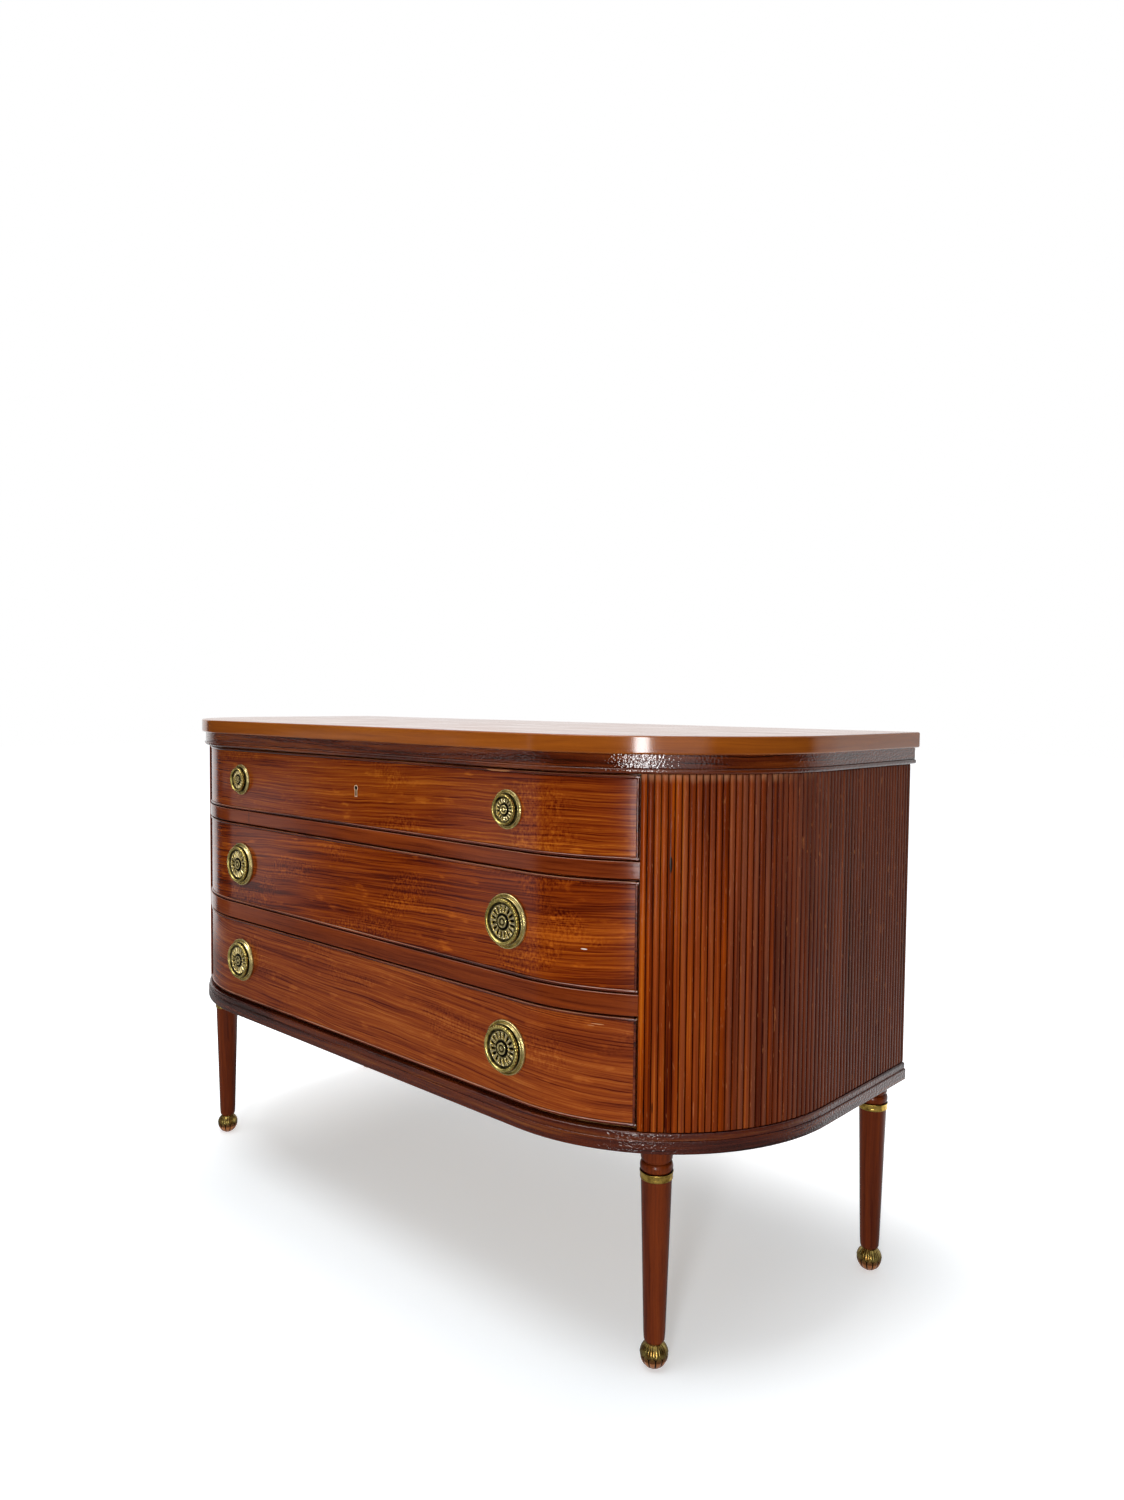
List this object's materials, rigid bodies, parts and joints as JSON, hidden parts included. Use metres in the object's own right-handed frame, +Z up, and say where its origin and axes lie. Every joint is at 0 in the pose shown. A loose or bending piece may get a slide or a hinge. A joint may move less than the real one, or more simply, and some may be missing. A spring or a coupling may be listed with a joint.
{
  "type": "chest of drawers",
  "caption": "Low D-shaped wooden chest of drawers with a bowed front, reeded sides, round brass knobs and turned legs on ball feet.",
  "frame": {"origin": "on the floor, under the middle of the top", "axes": "+Z up, +Y towards the flat back, the drawers open towards -Y, +X to the right of someone who faces the drawers"},
  "size_m": [1.2, 0.488, 0.7333],
  "materials": {
    "top_mahogany": "polished mahogany",
    "moulding_mahogany": "dark polished mahogany",
    "striped_mahogany": "glossy ribbon-figured mahogany veneer",
    "reeded_mahogany": "polished reeded mahogany",
    "rail_mahogany": "polished mahogany",
    "leg_mahogany": "polished turned mahogany",
    "case_pine": "bare aged softwood",
    "drawer_oak": "bare planed oak",
    "aged_brass": "aged cast brass, worn bright on the rims",
    "lock_iron": "dull iron"
  },
  "bodies": {
    "carcass": {"top_slab": "top_mahogany", "frieze_moulding": "moulding_mahogany", "base_moulding": "moulding_mahogany", "top_front_rail": "rail_mahogany", "divider_upper": "rail_mahogany", "divider_lower": "rail_mahogany", "reeded_panel_left": "reeded_mahogany", "reeded_panel_right": "reeded_mahogany", "bottom_board": "case_pine", "back_panel": "case_pine", "partition_left": "case_pine", "partition_right": "case_pine", "runner_frame_upper": "case_pine", "runner_frame_lower": "case_pine", "leg_front_left": "leg_mahogany", "leg_front_right": "leg_mahogany", "leg_back_left": "leg_mahogany", "leg_back_right": "leg_mahogany", "leg_ring_front_left": "aged_brass", "leg_ring_front_right": "aged_brass", "leg_ring_back_left": "aged_brass", "leg_ring_back_right": "aged_brass", "ball_foot_front_left": "aged_brass", "ball_foot_front_right": "aged_brass", "ball_foot_back_left": "aged_brass", "ball_foot_back_right": "aged_brass"},
    "drawer_top": {"drawer_top_front": "striped_mahogany", "drawer_top_cockbead": "moulding_mahogany", "drawer_top_side_left": "drawer_oak", "drawer_top_side_right": "drawer_oak", "drawer_top_back": "drawer_oak", "drawer_top_bottom": "drawer_oak", "drawer_top_knob_plate_left": "aged_brass", "drawer_top_knob_plate_right": "aged_brass", "drawer_top_knob_head_left": "aged_brass", "drawer_top_knob_head_right": "aged_brass", "drawer_top_escutcheon": "aged_brass", "drawer_top_lock_case": "lock_iron"},
    "drawer_middle": {"drawer_middle_front": "striped_mahogany", "drawer_middle_cockbead": "moulding_mahogany", "drawer_middle_side_left": "drawer_oak", "drawer_middle_side_right": "drawer_oak", "drawer_middle_back": "drawer_oak", "drawer_middle_bottom": "drawer_oak", "drawer_middle_knob_plate_left": "aged_brass", "drawer_middle_knob_plate_right": "aged_brass", "drawer_middle_knob_head_left": "aged_brass", "drawer_middle_knob_head_right": "aged_brass"},
    "drawer_lower": {"drawer_lower_front": "striped_mahogany", "drawer_lower_cockbead": "moulding_mahogany", "drawer_lower_side_left": "drawer_oak", "drawer_lower_side_right": "drawer_oak", "drawer_lower_back": "drawer_oak", "drawer_lower_bottom": "drawer_oak", "drawer_lower_knob_plate_left": "aged_brass", "drawer_lower_knob_plate_right": "aged_brass", "drawer_lower_knob_head_left": "aged_brass", "drawer_lower_knob_head_right": "aged_brass"},
    "bolt": {"lock_bolt": "lock_iron"}
  },
  "joints": [
    {"name": "drawer_top_slide", "type": "slide", "parent": "carcass", "child": "drawer_top", "axis": [0, -1, 0], "range_m": [0, 0.3]},
    {"name": "drawer_middle_slide", "type": "slide", "parent": "carcass", "child": "drawer_middle", "axis": [0, -1, 0], "range_m": [0, 0.3]},
    {"name": "drawer_lower_slide", "type": "slide", "parent": "carcass", "child": "drawer_lower", "axis": [0, -1, 0], "range_m": [0, 0.3]},
    {"name": "lock_bolt_throw", "type": "slide", "parent": "drawer_top", "child": "bolt", "axis": [0, 0, 1], "range_m": [0, 0.007]}
  ]
}
